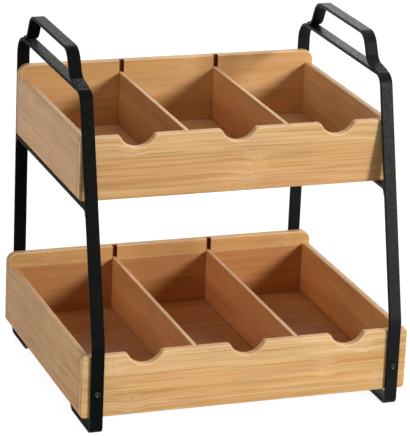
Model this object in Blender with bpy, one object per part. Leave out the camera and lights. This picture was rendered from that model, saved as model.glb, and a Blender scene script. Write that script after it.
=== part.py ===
"""Tea bag organizer: two open bamboo trays, one above the other, each with three compartments,
carried by a pair of bent steel strip frames with raised handles. Metres, +Z up, +Y to the rear.
The origin is on the table, under the middle of the organizer."""
import math

import bmesh
import bpy
from mathutils import Matrix, Vector

# Clearances
JOINT_GAP = 0.0003
DIVIDER_PLAY = 0.0003
HOLE_PLAY = 0.0003
CUT_OVERRUN = 0.004

# Trays. The frame's width sets theirs, and the lower tray's depth sets the depth of the whole
FRAME_WIDTH = 0.2842
LOWER_TRAY_OVERHANG = 0.0079
UPPER_TRAY_OVERHANG = 0.0004
LOWER_TRAY_DEPTH = 0.243
UPPER_TRAY_SETBACK = 0.0444
LOWER_TRAY_LEVEL = 0.0140
TIER_RISE = 0.1798
FRONT_HEIGHT = 0.056
BACK_RISE = 0.0115
WALL = 0.0077
BACK_CORNER_RADIUS = 0.009
TRAY_CORNER_RADIUS = 0.0035
BOARD_EDGE_ROUND = 0.0014
LOWER_COMPARTMENT_PITCH = 0.0932
UPPER_COMPARTMENT_PITCH = 0.0913
COMPARTMENTS = 3

# Tray floors, held in a groove round the four walls
FLOOR_THICKNESS = 0.004
FLOOR_SETUP = 0.0025
FLOOR_TONGUE = 0.0025

# Lift-out dividers and the upright grooves that hold them
DIVIDER_THICKNESS = 0.0039
DIVIDER_GROOVE_DEPTH = 0.004
DIVIDER_EDGE_ROUND = 0.0005

# Thumb notches in the front walls
NOTCH_RADIUS = 0.017
NOTCH_DEPTH = 0.0108
NOTCH_LIP_RADIUS = 0.003

# Dowels in the corners, from the front and back panels into the ends of the sides
DOWEL_RADIUS = 0.002
DOWEL_LENGTH = 0.018
DOWEL_BITE = 0.0045
DOWEL_CHAMFER = 0.0005
DOWEL_EDGE_DISTANCE = 0.014

# Side frames, bent from flat steel strip with its width across the organizer
STRIP_WIDTH = 0.0114
STRIP_THICKNESS = 0.003
STRIP_EDGE_ROUND = 0.0008
TOP_BAR_RISE = 0.0395
KNEE_RISE = 0.0085
KNEE_RADIUS = 0.030
RIM_CLEARANCE = 0.0005
SHOULDER_RADIUS = 0.0125
REAR_CORNER_RADIUS = 0.019
FOOT_BEND_RADIUS = 0.006
FRONT_FOOT_LENGTH = 0.055
REAR_FOOT_LENGTH = 0.046
RAMP_LENGTH = 0.012
RAMP_BEND_RADIUS = 0.005

# Handles, a bent strip welded on each frame's top bar between its front and rear bends
HANDLE_RISE = 0.0270
HANDLE_LEAN = math.radians(26)
HANDLE_CORNER_RADIUS = 0.016
HANDLE_FOOT_BEND_RADIUS = 0.011
HANDLE_FRONT_FOOT_LENGTH = 0.0130
HANDLE_REAR_FOOT_LENGTH = 0.0028
HANDLE_FOOT_EDGE = 0.0005

# Bars under the upper tray, welded between the legs
WELD_RADIUS = 0.0042
WELD_TOE = 0.0009
SUPPORT_EDGE_ROUND = 0.0003

# Screws that hold the trays to the legs
LOWER_SCREW_HEIGHT = 0.023
UPPER_SCREW_HEIGHT = 0.023
SCREW_HEAD_RADIUS = 0.0028
SCREW_HEAD_HEIGHT = 0.0013
SCREW_SHANK_RADIUS = 0.0014
SCREW_BITE = 0.006
SCREW_TIP_LENGTH = 0.0015
RECESS_LENGTH = 0.0026
RECESS_WIDTH = 0.0007
RECESS_DEPTH = 0.0006

# Facets
ARC_STEP = math.radians(10)
EDGE_SEGMENTS = 2
SCREW_SIDES = 12
DOME_STEPS = 4
DOWEL_SIDES = 8
SIDES = (("left", -1), ("right", 1))

# Places worked out from the sizes above
LOWER_TRAY_WIDTH = FRAME_WIDTH + 2 * LOWER_TRAY_OVERHANG
UPPER_TRAY_WIDTH = FRAME_WIDTH + 2 * UPPER_TRAY_OVERHANG
UPPER_TRAY_DEPTH = LOWER_TRAY_DEPTH - UPPER_TRAY_SETBACK
UPPER_TRAY_LEVEL = LOWER_TRAY_LEVEL + TIER_RISE
BACK_HEIGHT = FRONT_HEIGHT + BACK_RISE
LOWER_FRONT_Y = -LOWER_TRAY_DEPTH / 2
BACK_Y = LOWER_TRAY_DEPTH / 2
FRONT_LEG_Y = LOWER_FRONT_Y - JOINT_GAP - STRIP_THICKNESS
REAR_LEG_Y = BACK_Y + JOINT_GAP + STRIP_THICKNESS
STRIP_X = (FRAME_WIDTH - STRIP_WIDTH) / 2
UPPER_FRONT_Y = BACK_Y - UPPER_TRAY_DEPTH
UPPER_RIM_LEVEL = UPPER_TRAY_LEVEL + FRONT_HEIGHT
FRAME_HEIGHT = UPPER_RIM_LEVEL + TOP_BAR_RISE
KNEE_LEVEL = LOWER_TRAY_LEVEL + FRONT_HEIGHT + KNEE_RISE
FLOOR_TOP = FLOOR_SETUP + FLOOR_THICKNESS

# Colour, roughness and metallic value of each finish
BAMBOO = ((0.62, 0.38, 0.17), 0.5, 0.0)
DIVIDER_BAMBOO = ((0.58, 0.34, 0.15), 0.5, 0.0)
BLACK_STEEL = ((0.012, 0.012, 0.013), 0.45, 0.4)
SCREW_STEEL = ((0.03, 0.03, 0.032), 0.3, 0.9)


def clear_scene():
    for item in list(bpy.data.objects):
        bpy.data.objects.remove(item, do_unlink=True)


def make_material(name, finish):
    colour, roughness, metallic = finish
    material = bpy.data.materials.new(name)
    material.use_nodes = True
    shader = material.node_tree.nodes["Principled BSDF"]
    shader.inputs["Base Color"].default_value = (*colour, 1)
    shader.inputs["Roughness"].default_value = roughness
    shader.inputs["Metallic"].default_value = metallic
    return material


def link_object(name, mesh_data, origin):
    """Turns a bmesh in world coordinates into an object whose own origin is at the given point."""
    bmesh.ops.translate(mesh_data, verts=mesh_data.verts, vec=-Vector(origin))
    bmesh.ops.recalc_face_normals(mesh_data, faces=mesh_data.faces)
    mesh = bpy.data.meshes.new(name)
    mesh_data.to_mesh(mesh)
    mesh_data.free()
    item = bpy.data.objects.new(name, mesh)
    item.location = origin
    bpy.context.scene.collection.objects.link(item)
    return item


def finish_part(name, mesh_data, origin, finish):
    item = link_object(name, mesh_data, origin)
    item.data.materials.append(make_material(name + "_finish", finish))
    return item


def make_cutter(name, mesh_data):
    item = link_object(name, mesh_data, (0, 0, 0))
    item.hide_render = True
    item.display_type = "WIRE"
    return item


def cut(item, *cutters):
    for cutter in cutters:
        modifier = item.modifiers.new("cut_" + cutter.name, "BOOLEAN")
        modifier.operation = "DIFFERENCE"
        modifier.solver = "EXACT"
        modifier.object = cutter


def box_mesh(low, high):
    mesh_data = bmesh.new()
    bmesh.ops.create_cube(mesh_data, size=1)
    size = [b - a for a, b in zip(low, high)]
    middle = [(a + b) / 2 for a, b in zip(low, high)]
    bmesh.ops.scale(mesh_data, verts=mesh_data.verts, vec=size)
    bmesh.ops.translate(mesh_data, verts=mesh_data.verts, vec=middle)
    return mesh_data


def round_edges(mesh_data, edges, radius, segments=EDGE_SEGMENTS):
    bmesh.ops.bevel(mesh_data, geom=edges, offset=radius, offset_type="OFFSET", segments=segments,
                    profile=0.5, affect="EDGES", clamp_overlap=True)


def fillet_path(corners, closed):
    """Points of a path through (a, b, radius) corners, with an arc of that radius at each corner."""
    points = []
    count = len(corners)
    for index, (a, b, radius) in enumerate(corners):
        here = Vector((a, b))
        at_end = not closed and index in (0, count - 1)
        if at_end or radius == 0:
            points.append(here)
            continue
        before = (Vector(corners[index - 1][:2]) - here).normalized()
        after = (Vector(corners[(index + 1) % count][:2]) - here).normalized()
        turn = math.pi - before.angle(after)
        reach = radius * math.tan(turn / 2)
        side = 1 if before.cross(after) < 0 else -1
        start = here + before * reach
        normal = Vector((before.y, -before.x)) * side
        centre = start + normal * radius
        steps = max(2, math.ceil(turn / ARC_STEP))
        for step in range(steps + 1):
            arm = start - centre
            arm.rotate(Matrix.Rotation(side * turn * step / steps, 2))
            points.append(centre + arm)
    return points


def mitre_normals(points, closed):
    """Sideways vectors, to the right of the path, that keep an offset line parallel to it."""
    normals = []
    count = len(points)
    for index, here in enumerate(points):
        arms = []
        if closed or index > 0:
            arms.append((here - points[index - 1]).normalized())
        if closed or index < count - 1:
            arms.append((points[(index + 1) % count] - here).normalized())
        sides = [Vector((arm.y, -arm.x)) for arm in arms]
        total = sum(sides, Vector((0, 0)))
        total.normalize()
        normals.append(total / total.dot(sides[0]))
    return normals


def strip_section():
    """Outline of the strip's cross section as (across, through) pairs, with rounded edges."""
    half = STRIP_WIDTH / 2
    edge = STRIP_EDGE_ROUND
    outline = []
    centres = ((half - edge, edge), (half - edge, STRIP_THICKNESS - edge),
               (edge - half, STRIP_THICKNESS - edge), (edge - half, edge))
    for quarter, (across, through) in enumerate(centres):
        for step in range(EDGE_SEGMENTS + 1):
            angle = math.pi / 2 * (quarter - 1 + step / EDGE_SEGMENTS)
            outline.append((across + edge * math.cos(angle), through + edge * math.sin(angle)))
    return outline


def sweep_strip(path, centre_x, closed, end_thickness=STRIP_THICKNESS):
    """A bent strip whose outer face follows the path of (y, z) points, its width along X. An open
    strip's ends are ground down from outside to the end thickness."""
    mesh_data = bmesh.new()
    rings = []
    for index, (point, normal) in enumerate(zip(path, mitre_normals(path, closed))):
        at_end = not closed and index in (0, len(path) - 1)
        share = end_thickness / STRIP_THICKNESS if at_end else 1
        ring = []
        for across, through in strip_section():
            y, z = point + normal * (STRIP_THICKNESS - (STRIP_THICKNESS - through) * share)
            ring.append(mesh_data.verts.new((centre_x + across, y, z)))
        rings.append(ring)
    bridge_rings(mesh_data, rings, closed)
    return mesh_data


def bridge_rings(mesh_data, rings, closed):
    """Faces between each ring of points and the next, with both ends filled where they are open."""
    pairs = list(zip(rings, rings[1:]))
    if closed:
        pairs.append((rings[-1], rings[0]))
    for ring, following in pairs:
        for side in range(len(ring)):
            turn = (side + 1) % len(ring)
            mesh_data.faces.new((ring[side], ring[turn], following[turn], following[side]))
    if not closed:
        mesh_data.faces.new(rings[0])
        mesh_data.faces.new(rings[-1])


def extrude_outline(points, place, shift):
    """Closed outline turned into a board: place maps a point to 3D, shift is the thickness vector."""
    mesh_data = bmesh.new()
    front = [mesh_data.verts.new(place(point)) for point in points]
    face = mesh_data.faces.new(front)
    grown = bmesh.ops.extrude_face_region(mesh_data, geom=[face])
    moved = [piece for piece in grown["geom"] if isinstance(piece, bmesh.types.BMVert)]
    bmesh.ops.translate(mesh_data, verts=moved, vec=shift)
    bmesh.ops.recalc_face_normals(mesh_data, faces=mesh_data.faces)
    mesh_data.normal_update()
    return mesh_data


def sharp_edges(mesh_data, angle=math.radians(30)):
    return [edge for edge in mesh_data.edges if edge.calc_face_angle(0) > angle]


def compartment_middles(pitch):
    return [(index - (COMPARTMENTS - 1) / 2) * pitch for index in range(COMPARTMENTS)]


def notch_outline(middle, rim):
    """A thumb notch from right to left: a round hollow between two rounded lips."""
    rise = NOTCH_RADIUS - NOTCH_DEPTH
    drop = rise + NOTCH_LIP_RADIUS
    reach = math.sqrt((NOTCH_RADIUS + NOTCH_LIP_RADIUS) ** 2 - drop ** 2)
    swing = math.acos(drop / (NOTCH_RADIUS + NOTCH_LIP_RADIUS))
    half = []
    steps = math.ceil(swing / ARC_STEP)
    for step in range(steps):
        angle = swing * step / steps
        half.append((reach - NOTCH_LIP_RADIUS * math.sin(angle),
                     rim - NOTCH_LIP_RADIUS + NOTCH_LIP_RADIUS * math.cos(angle)))
    for step in range(steps + 1):
        angle = swing * (1 - step / steps)
        half.append((NOTCH_RADIUS * math.sin(angle), rim + rise - NOTCH_RADIUS * math.cos(angle)))
    right = [(middle + x, z) for x, z in half]
    left = [(middle - x, z) for x, z in reversed(half[:-1])]
    return right + left


def make_front_panel(tray, width, front_y, level, pitch, cutters):
    half = width / 2
    rim = level + FRONT_HEIGHT
    corners = [(-half, level), (half, level), (half, rim), (-half, rim)]
    corners = fillet_path([(*corner, TRAY_CORNER_RADIUS) for corner in corners], closed=True)
    last_corner = len(corners) * 3 // 4
    outline = corners[:last_corner]
    for middle in reversed(compartment_middles(pitch)):
        outline += notch_outline(middle, rim)
    outline += corners[last_corner:]
    board = extrude_outline(outline, lambda p: (p[0], front_y, p[1]), (0, WALL, 0))
    round_edges(board, sharp_edges(board), BOARD_EDGE_ROUND)
    panel = finish_part(tray + "_front_panel", board, (0, front_y, level), BAMBOO)
    cut(panel, *cutters)


def make_back_panel(tray, width, level, cutters):
    half = width / 2
    top = level + BACK_HEIGHT
    corners = [(-half, level, TRAY_CORNER_RADIUS), (half, level, TRAY_CORNER_RADIUS),
               (half, top, BACK_CORNER_RADIUS), (-half, top, BACK_CORNER_RADIUS)]
    outline = fillet_path(corners, closed=True)
    board = extrude_outline(outline, lambda p: (p[0], BACK_Y, p[1]), (0, -WALL, 0))
    round_edges(board, sharp_edges(board), BOARD_EDGE_ROUND)
    panel = finish_part(tray + "_back_panel", board, (0, BACK_Y, level), BAMBOO)
    cut(panel, *cutters)


def long_edges_at(board, x):
    """Edges along Y that lie at the given place along X."""
    along = [edge for edge in board.edges if abs(edge.verts[0].co.y - edge.verts[1].co.y) > WALL]
    return [edge for edge in along if abs(edge.verts[0].co.x - x) < JOINT_GAP]


def make_side(name, side, width, front_y, level, cutters):
    outer = side * width / 2
    inner = outer - side * WALL
    start = front_y + WALL + JOINT_GAP
    end = BACK_Y - WALL - JOINT_GAP
    board = box_mesh((min(outer, inner), start, level), (max(outer, inner), end, level + FRONT_HEIGHT))
    round_edges(board, long_edges_at(board, outer), TRAY_CORNER_RADIUS)
    round_edges(board, long_edges_at(board, inner), BOARD_EDGE_ROUND)
    cut(finish_part(name, board, (outer, 0, level), BAMBOO), *cutters)


def make_floor(tray, width, front_y, level):
    """The floor board, and the pocket that its edges need in the four walls."""
    reach = WALL - FLOOR_TONGUE
    low = Vector((reach - width / 2, front_y + reach, level + FLOOR_SETUP))
    high = Vector((width / 2 - reach, BACK_Y - reach, level + FLOOR_TOP))
    gap = Vector((JOINT_GAP, JOINT_GAP, JOINT_GAP))
    middle = (0, (front_y + BACK_Y) / 2, level + FLOOR_SETUP)
    finish_part(tray + "_floor", box_mesh(low, high), middle, BAMBOO)
    return make_cutter(tray + "_floor_pocket", box_mesh(low - gap, high + gap))


def make_divider(name, middle, front_y, level):
    """A divider that stands in its grooves, and the cutter for the grooves."""
    reach = WALL - DIVIDER_GROOVE_DEPTH
    foot = level + FLOOR_TOP + JOINT_GAP
    half = DIVIDER_THICKNESS / 2
    low = (middle - half, front_y + reach + DIVIDER_PLAY, foot)
    high = (middle + half, BACK_Y - reach - DIVIDER_PLAY, level + FRONT_HEIGHT)
    board = box_mesh(low, high)
    round_edges(board, board.edges[:], DIVIDER_EDGE_ROUND, 1)
    finish_part(name, board, (middle, (low[1] + high[1]) / 2, foot), DIVIDER_BAMBOO)
    slot_low = (low[0] - DIVIDER_PLAY, front_y + reach, foot)
    slot_high = (high[0] + DIVIDER_PLAY, BACK_Y - reach, level + BACK_HEIGHT + CUT_OVERRUN)
    return make_cutter(name + "_groove", box_mesh(slot_low, slot_high))


def turned_mesh(profile, sides, seat, facing):
    """Turns (radius, height) points round an axis through the seat that points along facing."""
    mesh_data = bmesh.new()
    rings = []
    for radius, height in profile:
        angles = [2 * math.pi * side / sides for side in range(sides)]
        points = [(radius * math.cos(angle), radius * math.sin(angle), height) for angle in angles]
        rings.append([mesh_data.verts.new(point) for point in points])
    bridge_rings(mesh_data, rings, closed=False)
    return stand(mesh_data, seat, facing)


def stand(mesh_data, seat, facing):
    """Moves a shape made along +Z from the origin to the seat, with its Z along facing."""
    turn = Vector(facing).to_track_quat("Z", "Y").to_matrix().to_4x4()
    bmesh.ops.transform(mesh_data, matrix=Matrix.Translation(seat) @ turn, verts=mesh_data.verts)
    return mesh_data


def make_dowel(name, x, panel_inner, z, into_side):
    """A dowel that starts in a panel and runs into the end of a side; into_side is 1 towards +Y."""
    seat = (x, panel_inner - into_side * DOWEL_BITE, z)
    facing = (0, into_side, 0)
    profile = [(DOWEL_RADIUS - DOWEL_CHAMFER, 0), (DOWEL_RADIUS, DOWEL_CHAMFER),
               (DOWEL_RADIUS, DOWEL_LENGTH - DOWEL_CHAMFER), (DOWEL_RADIUS - DOWEL_CHAMFER, DOWEL_LENGTH)]
    finish_part(name, turned_mesh(profile, DOWEL_SIDES, seat, facing), seat, DIVIDER_BAMBOO)
    radius = DOWEL_RADIUS + HOLE_PLAY
    hole = [(radius, -HOLE_PLAY), (radius, DOWEL_LENGTH + HOLE_PLAY)]
    return make_cutter(name + "_hole", turned_mesh(hole, DOWEL_SIDES, seat, facing))


def make_corner_dowels(tray, width, front_y, level):
    """Two dowels in each corner; gives the hole cutters by end and by side."""
    holes = {}
    heights = {"low": level + DOWEL_EDGE_DISTANCE, "high": level + FRONT_HEIGHT - DOWEL_EDGE_DISTANCE}
    for end, panel_inner, into_side in (("front", front_y + WALL, 1), ("rear", BACK_Y - WALL, -1)):
        for side_name, side in SIDES:
            x = side * (width - WALL) / 2
            for height, z in heights.items():
                name = "_".join((tray, end, side_name, height, "dowel"))
                hole = make_dowel(name, x, panel_inner, z, into_side)
                holes.setdefault(end, []).append(hole)
                holes.setdefault(side_name, []).append(hole)
    return holes


def make_tray(tray, width, depth, level, pitch, front_holes, rear_holes):
    front_y = BACK_Y - depth
    pocket = make_floor(tray, width, front_y, level)
    grooves = [make_divider(tray + "_" + side_name + "_divider", side * pitch / 2, front_y, level)
               for side_name, side in SIDES]
    holes = make_corner_dowels(tray, width, front_y, level)
    front_cutters = [pocket, *grooves, *holes["front"], *front_holes]
    make_front_panel(tray, width, front_y, level, pitch, front_cutters)
    make_back_panel(tray, width, level, [pocket, *grooves, *holes["rear"], *rear_holes])
    for side_name, side in SIDES:
        name = tray + "_" + side_name + "_side"
        make_side(name, side, width, front_y, level, [pocket, *holes[side_name]])


def make_screw(name, seat, facing):
    """A low dome screw with a cross recess. The seat is under its head, which looks along facing;
    gives the cutter for its hole through the strip and into the tray."""
    depth = STRIP_THICKNESS + 2 * JOINT_GAP + SCREW_BITE
    profile = [(SCREW_SHANK_RADIUS / 4, -depth),
               (SCREW_SHANK_RADIUS, SCREW_TIP_LENGTH - depth),
               (SCREW_SHANK_RADIUS, 0),
               (SCREW_HEAD_RADIUS, 0)]
    for step in range(1, DOME_STEPS):
        angle = math.pi / 2 * step / DOME_STEPS
        profile.append((SCREW_HEAD_RADIUS * math.cos(angle), SCREW_HEAD_HEIGHT * math.sin(angle)))
    screw = finish_part(name, turned_mesh(profile, SCREW_SIDES, seat, facing), seat, SCREW_STEEL)
    top = profile[-1][1]
    for way, (across, upright) in (("across", (RECESS_LENGTH, RECESS_WIDTH)),
                                   ("upright", (RECESS_WIDTH, RECESS_LENGTH))):
        low = (-across / 2, -upright / 2, top - RECESS_DEPTH)
        high = (across / 2, upright / 2, top + RECESS_DEPTH)
        cut(screw, make_cutter(name + "_recess_" + way, stand(box_mesh(low, high), seat, facing)))
    radius = SCREW_SHANK_RADIUS + HOLE_PLAY
    hole = [(radius, -depth - HOLE_PLAY), (radius, -JOINT_GAP / 2)]
    return make_cutter(name + "_hole", turned_mesh(hole, SCREW_SIDES, seat, facing))


def lean_of_front_leg():
    """How far the leg leans to the rear for each unit of height above the knee: its inner face
    passes in front of the upper tray's front top edge by the rim clearance."""
    rise = UPPER_RIM_LEVEL - KNEE_LEVEL
    contact = UPPER_FRONT_Y - RIM_CLEARANCE
    lean = (contact - STRIP_THICKNESS - FRONT_LEG_Y) / rise
    for _ in range(8):
        through = STRIP_THICKNESS * math.sqrt(1 + lean ** 2)
        lean = (contact - through - FRONT_LEG_Y) / rise
    return lean


def front_leg_y(z, through):
    """Y of the leaning front leg at height z, on its outer face or that far through the strip."""
    lean = lean_of_front_leg()
    return FRONT_LEG_Y + lean * (z - KNEE_LEVEL) + through * math.sqrt(1 + lean ** 2)


def hoop_path():
    """Outer face of a side frame, from the front foot up the front leg and round."""
    rise = LOWER_TRAY_LEVEL - JOINT_GAP - STRIP_THICKNESS
    shoulder_y = front_leg_y(FRAME_HEIGHT, 0)
    front_toe = FRONT_LEG_Y + FRONT_FOOT_LENGTH
    rear_toe = REAR_LEG_Y - REAR_FOOT_LENGTH
    corners = [
        (FRONT_LEG_Y, 0, FOOT_BEND_RADIUS),
        (FRONT_LEG_Y, KNEE_LEVEL, KNEE_RADIUS),
        (shoulder_y, FRAME_HEIGHT, SHOULDER_RADIUS),
        (REAR_LEG_Y, FRAME_HEIGHT, REAR_CORNER_RADIUS),
        (REAR_LEG_Y, 0, FOOT_BEND_RADIUS),
        (rear_toe, 0, RAMP_BEND_RADIUS),
        (rear_toe - RAMP_LENGTH, rise, RAMP_BEND_RADIUS + STRIP_THICKNESS),
        (front_toe + RAMP_LENGTH, rise, RAMP_BEND_RADIUS + STRIP_THICKNESS),
        (front_toe, 0, RAMP_BEND_RADIUS),
    ]
    return fillet_path(corners, closed=True)


def top_bar_flat():
    """Front and rear ends of the straight stretch of a frame's top bar."""
    lean = math.atan(lean_of_front_leg())
    front = front_leg_y(FRAME_HEIGHT, 0) + SHOULDER_RADIUS * math.tan((math.pi / 2 - lean) / 2)
    return front, REAR_LEG_Y - REAR_CORNER_RADIUS


def handle_path():
    """Outer face of a handle, from its front foot to its rear foot. Both feet lie on the straight
    stretch of the top bar and are ground down to an edge at its ends."""
    foot = FRAME_HEIGHT + JOINT_GAP + STRIP_THICKNESS
    top = FRAME_HEIGHT + HANDLE_RISE
    spread = (top - foot) * math.tan(HANDLE_LEAN)
    bend_reach = HANDLE_FOOT_BEND_RADIUS * math.tan((math.pi / 2 - HANDLE_LEAN) / 2)
    flat_front, flat_rear = top_bar_flat()
    front_bend = flat_front + HANDLE_FRONT_FOOT_LENGTH + bend_reach
    rear_bend = flat_rear - HANDLE_REAR_FOOT_LENGTH - bend_reach
    corners = [
        (flat_front, foot, 0),
        (front_bend, foot, HANDLE_FOOT_BEND_RADIUS),
        (front_bend + spread, top, HANDLE_CORNER_RADIUS),
        (rear_bend - spread, top, HANDLE_CORNER_RADIUS),
        (rear_bend, foot, HANDLE_FOOT_BEND_RADIUS),
        (flat_rear, foot, 0),
    ]
    return fillet_path(corners, closed=False)


def support_outline():
    """Side view of the bar under the upper tray, with its welds against the two legs."""
    top = UPPER_TRAY_LEVEL - JOINT_GAP
    under = top - STRIP_THICKNESS
    toe = under - WELD_RADIUS - WELD_TOE
    through = STRIP_THICKNESS + JOINT_GAP
    rear = REAR_LEG_Y - through
    corners = [
        (front_leg_y(top, through), top, 0),
        (rear, top, 0),
        (rear, toe, 0),
        (rear - WELD_TOE, toe, 0),
        (rear - WELD_TOE, under, WELD_RADIUS),
        (front_leg_y(under, through) + WELD_TOE, under, WELD_RADIUS),
        (front_leg_y(toe, through) + WELD_TOE, toe, 0),
        (front_leg_y(toe, through), toe, 0),
    ]
    return fillet_path(corners, closed=True)


def make_support_bar(side_name, centre, holes):
    half = STRIP_WIDTH / 2
    bar = extrude_outline(support_outline(), lambda p: (centre - half, p[0], p[1]), (STRIP_WIDTH, 0, 0))
    rims = [edge for edge in sharp_edges(bar) if abs(edge.verts[0].co.x - edge.verts[1].co.x) < half]
    round_edges(bar, rims, SUPPORT_EDGE_ROUND, 1)
    name = side_name + "_support_bar"
    cut(finish_part(name, bar, (centre, 0, UPPER_TRAY_LEVEL), BLACK_STEEL), *holes)


def make_frame(side_name, centre, holes):
    hoop = sweep_strip(hoop_path(), centre, closed=True)
    cut(finish_part(side_name + "_frame", hoop, (centre, 0, 0), BLACK_STEEL), *holes)
    handle = sweep_strip(handle_path(), centre, closed=False, end_thickness=HANDLE_FOOT_EDGE)
    finish_part(side_name + "_handle", handle, (centre, 0, FRAME_HEIGHT), BLACK_STEEL)


def build():
    clear_scene()
    lower_z = LOWER_TRAY_LEVEL + LOWER_SCREW_HEIGHT
    upper_z = UPPER_TRAY_LEVEL + UPPER_SCREW_HEIGHT
    support_y = UPPER_FRONT_Y + (WALL - FLOOR_TONGUE) / 2
    support_seat = UPPER_TRAY_LEVEL - STRIP_THICKNESS - 2 * JOINT_GAP
    lower_front, lower_rear, upper_front, upper_rear = [], [], [], []
    for side_name, side in SIDES:
        x = side * STRIP_X
        front = make_screw(side_name + "_front_screw", (x, FRONT_LEG_Y - JOINT_GAP, lower_z), (0, -1, 0))
        lower = make_screw(side_name + "_lower_rear_screw", (x, REAR_LEG_Y + JOINT_GAP, lower_z), (0, 1, 0))
        upper = make_screw(side_name + "_upper_rear_screw", (x, REAR_LEG_Y + JOINT_GAP, upper_z), (0, 1, 0))
        support = make_screw(side_name + "_support_screw", (x, support_y, support_seat), (0, 0, -1))
        lower_front.append(front)
        lower_rear.append(lower)
        upper_rear.append(upper)
        upper_front.append(support)
        make_frame(side_name, x, (front, lower, upper))
        make_support_bar(side_name, x, (support,))
    make_tray("lower", LOWER_TRAY_WIDTH, LOWER_TRAY_DEPTH, LOWER_TRAY_LEVEL, LOWER_COMPARTMENT_PITCH,
              lower_front, lower_rear)
    make_tray("upper", UPPER_TRAY_WIDTH, UPPER_TRAY_DEPTH, UPPER_TRAY_LEVEL, UPPER_COMPARTMENT_PITCH,
              upper_front, upper_rear)


build()
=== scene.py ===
import math

import bmesh
import bpy
from mathutils import Matrix, Vector


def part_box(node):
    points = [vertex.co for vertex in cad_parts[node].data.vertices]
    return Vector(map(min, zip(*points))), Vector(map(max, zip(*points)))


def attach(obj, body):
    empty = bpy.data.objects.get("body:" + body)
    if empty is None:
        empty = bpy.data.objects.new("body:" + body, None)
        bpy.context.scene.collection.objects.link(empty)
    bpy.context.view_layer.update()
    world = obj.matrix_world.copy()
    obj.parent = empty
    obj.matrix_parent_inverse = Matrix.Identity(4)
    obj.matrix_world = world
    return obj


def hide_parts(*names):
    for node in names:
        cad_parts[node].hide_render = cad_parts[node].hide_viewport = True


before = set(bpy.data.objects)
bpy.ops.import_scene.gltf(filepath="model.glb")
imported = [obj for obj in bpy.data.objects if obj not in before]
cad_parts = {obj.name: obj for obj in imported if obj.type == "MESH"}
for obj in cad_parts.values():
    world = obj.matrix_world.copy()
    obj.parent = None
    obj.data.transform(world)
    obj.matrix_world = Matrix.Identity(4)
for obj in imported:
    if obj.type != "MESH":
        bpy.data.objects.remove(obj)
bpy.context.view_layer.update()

# In metres: the gap of glued and welded joints, where the solids keep a wide one, the play
# between other pieces, and how far a cutter reaches past a board
GLUE_GAP = 0.00002
PLAY = 0.0003
OVERRUN = 0.004

# Boards
BOARD_ROUND = 0.0014
BACK_CORNER_RADIUS = 0.009
TRAY_CORNER_RADIUS = 0.0035
DIVIDER_ROUND = 0.0007
NOTCH_RADIUS = 0.017
NOTCH_DEPTH = 0.0108
NOTCH_LIP_RADIUS = 0.003
COMPARTMENTS = 3
PITCH = {"lower": 0.0932, "upper": 0.0913}

# Bent steel strip
STRIP_THICKNESS = 0.003
STRIP_ROUND = 0.0008
KNEE_RISE = 0.0085
KNEE_RADIUS = 0.030
RIM_CLEARANCE = 0.0005
LEAN_ROUNDS = 8
SHOULDER_RADIUS = 0.0125
REAR_CORNER_RADIUS = 0.019
FOOT_BEND_RADIUS = 0.006
FRONT_FOOT_LENGTH = 0.055
REAR_FOOT_LENGTH = 0.046
RAMP_LENGTH = 0.012
RAMP_BEND_RADIUS = 0.005
HANDLE_RISE = 0.0270
HANDLE_LEAN = math.radians(26)
HANDLE_CORNER_RADIUS = 0.016
HANDLE_FOOT_BEND_RADIUS = 0.011
HANDLE_FRONT_FOOT_LENGTH = 0.0130
HANDLE_REAR_FOOT_LENGTH = 0.0028
HANDLE_FOOT_EDGE = 0.0002
WELD_RADIUS = 0.0042
WELD_TOE = 0.0009
WELD_ROUND = 0.0004

# Screws
HEAD_RADIUS = 0.0028
HEAD_HEIGHT = 0.0013
HEAD_EDGE = 0.0003
DISH_RADIUS = 0.0022
DISH_FLOOR_RADIUS = 0.0004
DISH_SLOPE = math.radians(20)
RECESS_LENGTH = 0.0024
RECESS_WIDTH = 0.0006
RECESS_FLOOR = 0.00015
SCREW_FACINGS = (
    ("front_screw", (0, -1, 0)),
    ("lower_rear_screw", (0, 1, 0)),
    ("upper_rear_screw", (0, 1, 0)),
    ("support_screw", (0, 0, -1)),
)

# Fineness of round stretches, and the angles from which edges count as sharp
ARC_STEP = math.radians(4)
EDGE_SEGMENTS = 4
DIVIDER_SEGMENTS = 3
WELD_SEGMENTS = 2
TURNED_SIDES = 32
DOME_STEPS = 8
SHADING_ANGLE = math.radians(40)
ROUNDING_ANGLE = math.radians(30)

SIDES = (("left", -1), ("right", 1))
TRAYS = ("lower", "upper")
BODY = "organizer"


def place_piece(name, mesh_data, node, body, material):
    """Turns a bmesh in the frame's coordinates into a piece that stands for a node."""
    bmesh.ops.recalc_face_normals(mesh_data, faces=mesh_data.faces)
    if mesh_data.calc_volume(signed=True) < 0:
        bmesh.ops.reverse_faces(mesh_data, faces=mesh_data.faces)
    mesh = bpy.data.meshes.new(name)
    mesh_data.to_mesh(mesh)
    mesh_data.free()
    piece = bpy.data.objects.new(name, mesh)
    bpy.context.scene.collection.objects.link(piece)
    mesh.materials.append(material)
    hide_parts(node)
    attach(piece, body)
    return piece


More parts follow.
